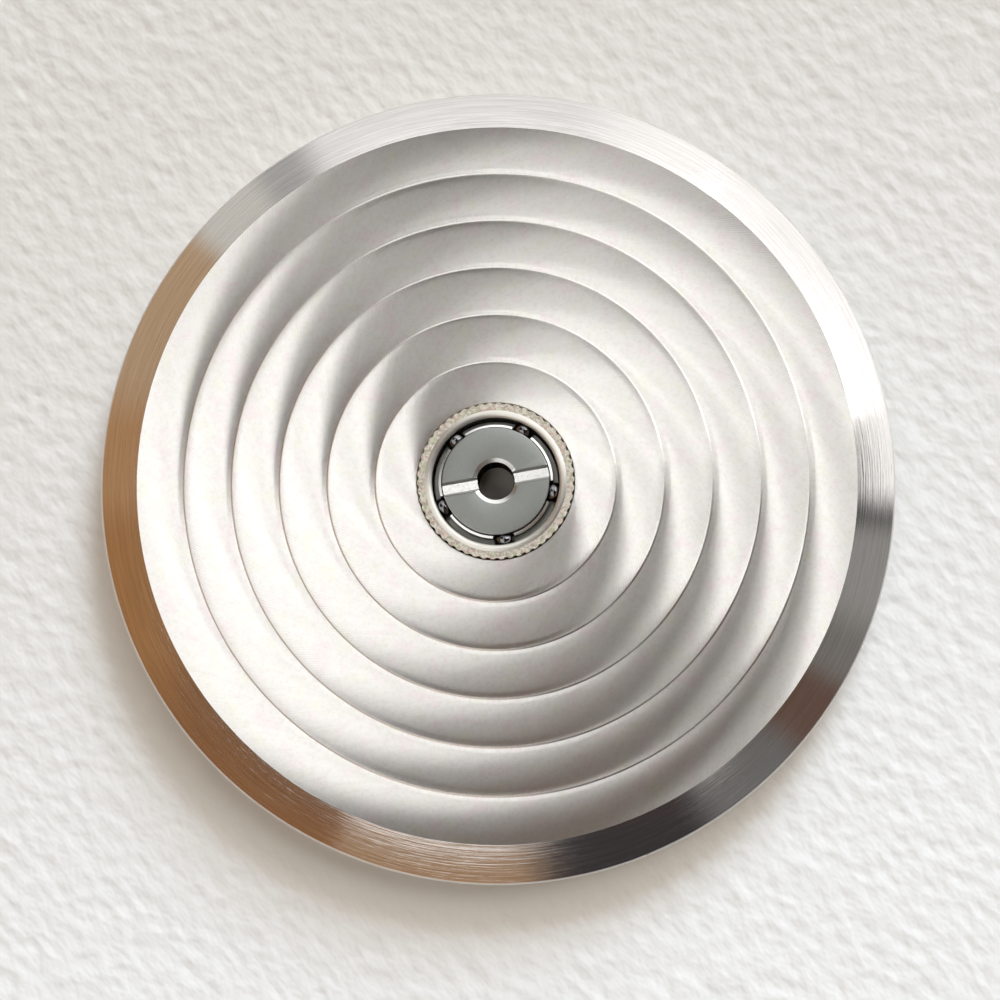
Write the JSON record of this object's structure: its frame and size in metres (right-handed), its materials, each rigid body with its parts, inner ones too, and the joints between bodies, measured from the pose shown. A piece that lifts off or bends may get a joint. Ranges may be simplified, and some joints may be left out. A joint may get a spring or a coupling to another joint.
{
  "type": "automatic watch rotor",
  "caption": "Full-disc oscillating weight for a self-winding watch: bevelled rim, circular stripes, and an open toothed ball bearing with a slotted, tapped core.",
  "frame": {"origin": "on the axis of rotation, in the plane of the rim's underside, which the part rests on", "axes": "+Z along the axis of rotation, out of the decorated face; the tungsten half ring is centred on -Y"},
  "size_m": [0.027, 0.027, 0.0019],
  "materials": {
    "plated_brass": "satin",
    "tungsten_alloy": "satin",
    "screw_steel": "satin",
    "race_steel": "satin",
    "cage_steel": "satin",
    "ball_steel": "polished",
    "core_steel": "satin"
  },
  "bodies": {
    "core": {"bearing_core": "core_steel", "lower_cone": "core_steel"},
    "rotor": {"rotor_disc": "plated_brass", "heavy_segment": "tungsten_alloy", "segment_screw_1": "screw_steel", "segment_screw_2": "screw_steel", "segment_screw_3": "screw_steel", "outer_race": "race_steel"},
    "cage": {"ball_cage": "cage_steel"},
    "ball_a": {"ball_1": "ball_steel"},
    "ball_b": {"ball_2": "ball_steel"},
    "ball_c": {"ball_3": "ball_steel"},
    "ball_d": {"ball_4": "ball_steel"},
    "ball_e": {"ball_5": "ball_steel"}
  },
  "joints": [
    {"name": "rotor_spin", "type": "hinge", "parent": "core", "child": "rotor", "pos_m": [0, 0, 0.0014], "axis": [0, 0, 1], "continuous": true},
    {"name": "cage_spin", "type": "hinge", "parent": "core", "child": "cage", "pos_m": [0, 0, 0.0014], "axis": [0, 0, 1], "continuous": true},
    {"name": "ball_1_roll", "type": "hinge", "parent": "cage", "child": "ball_a", "pos_m": [0.00194, -0.00034, 0.0014], "axis": [0, 0, 1], "continuous": true},
    {"name": "ball_2_roll", "type": "hinge", "parent": "cage", "child": "ball_b", "pos_m": [0.00092, 0.00174, 0.0014], "axis": [0, 0, 1], "continuous": true},
    {"name": "ball_3_roll", "type": "hinge", "parent": "cage", "child": "ball_c", "pos_m": [-0.00137, 0.00142, 0.0014], "axis": [0, 0, 1], "continuous": true},
    {"name": "ball_4_roll", "type": "hinge", "parent": "cage", "child": "ball_d", "pos_m": [-0.00177, -0.00086, 0.0014], "axis": [0, 0, 1], "continuous": true},
    {"name": "ball_5_roll", "type": "hinge", "parent": "cage", "child": "ball_e", "pos_m": [0.00027, -0.00195, 0.0014], "axis": [0, 0, 1], "continuous": true}
  ],
  "couplings": [
    {"joint": "cage_spin", "follows": "rotor_spin", "ratio": 0.56281},
    {"joint": "ball_1_roll", "follows": "rotor_spin", "ratio": 3.9172},
    {"joint": "ball_2_roll", "follows": "rotor_spin", "ratio": 3.9172},
    {"joint": "ball_3_roll", "follows": "rotor_spin", "ratio": 3.9172},
    {"joint": "ball_4_roll", "follows": "rotor_spin", "ratio": 3.9172},
    {"joint": "ball_5_roll", "follows": "rotor_spin", "ratio": 3.9172}
  ]
}
